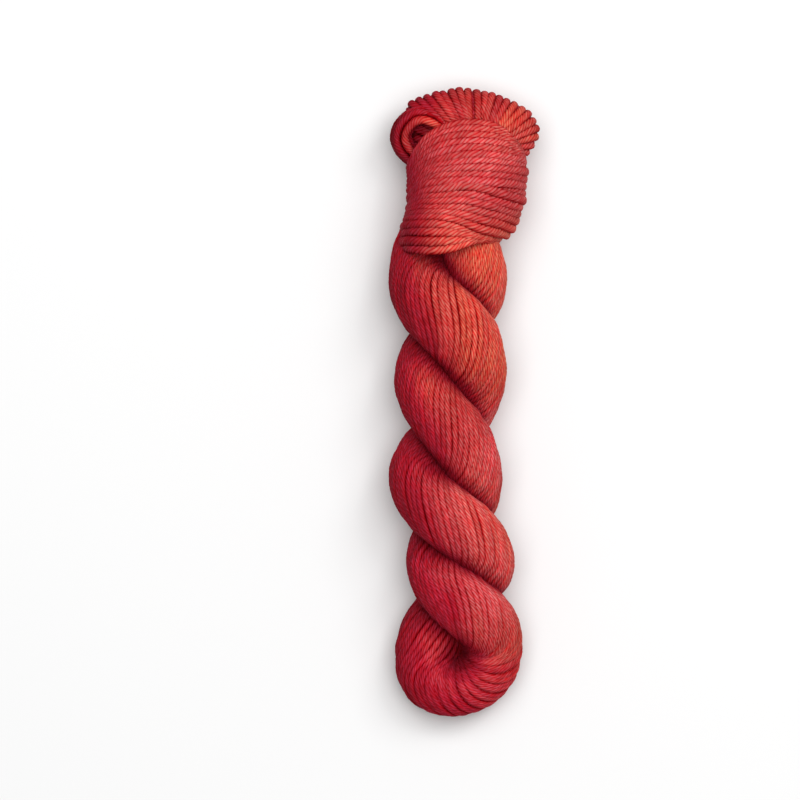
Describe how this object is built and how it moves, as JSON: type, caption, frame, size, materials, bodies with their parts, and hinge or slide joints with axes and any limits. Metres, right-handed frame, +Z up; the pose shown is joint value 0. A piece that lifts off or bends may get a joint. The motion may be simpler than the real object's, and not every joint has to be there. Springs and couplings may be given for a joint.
{
  "type": "hank of yarn",
  "caption": "Hank of chunky plied wool yarn, twisted into a rope, doubled back on itself and closed by a wound collar with a fan of loops at its head.",
  "frame": {"origin": "on the surface the hank lies on, under the middle of its box", "axes": "+Y along the hank towards the crown of loops, +Z up from the surface, +X to the right seen from above with the crown at the top"},
  "size_m": [0.0722, 0.3004, 0.0524],
  "materials": {
    "yarn": "semi-solid dyed plied wool, matt with a soft sheen, coral red with pinker and darker stretches"
  },
  "bodies": {
    "root": {"hank": "yarn"}
  },
  "joints": []
}
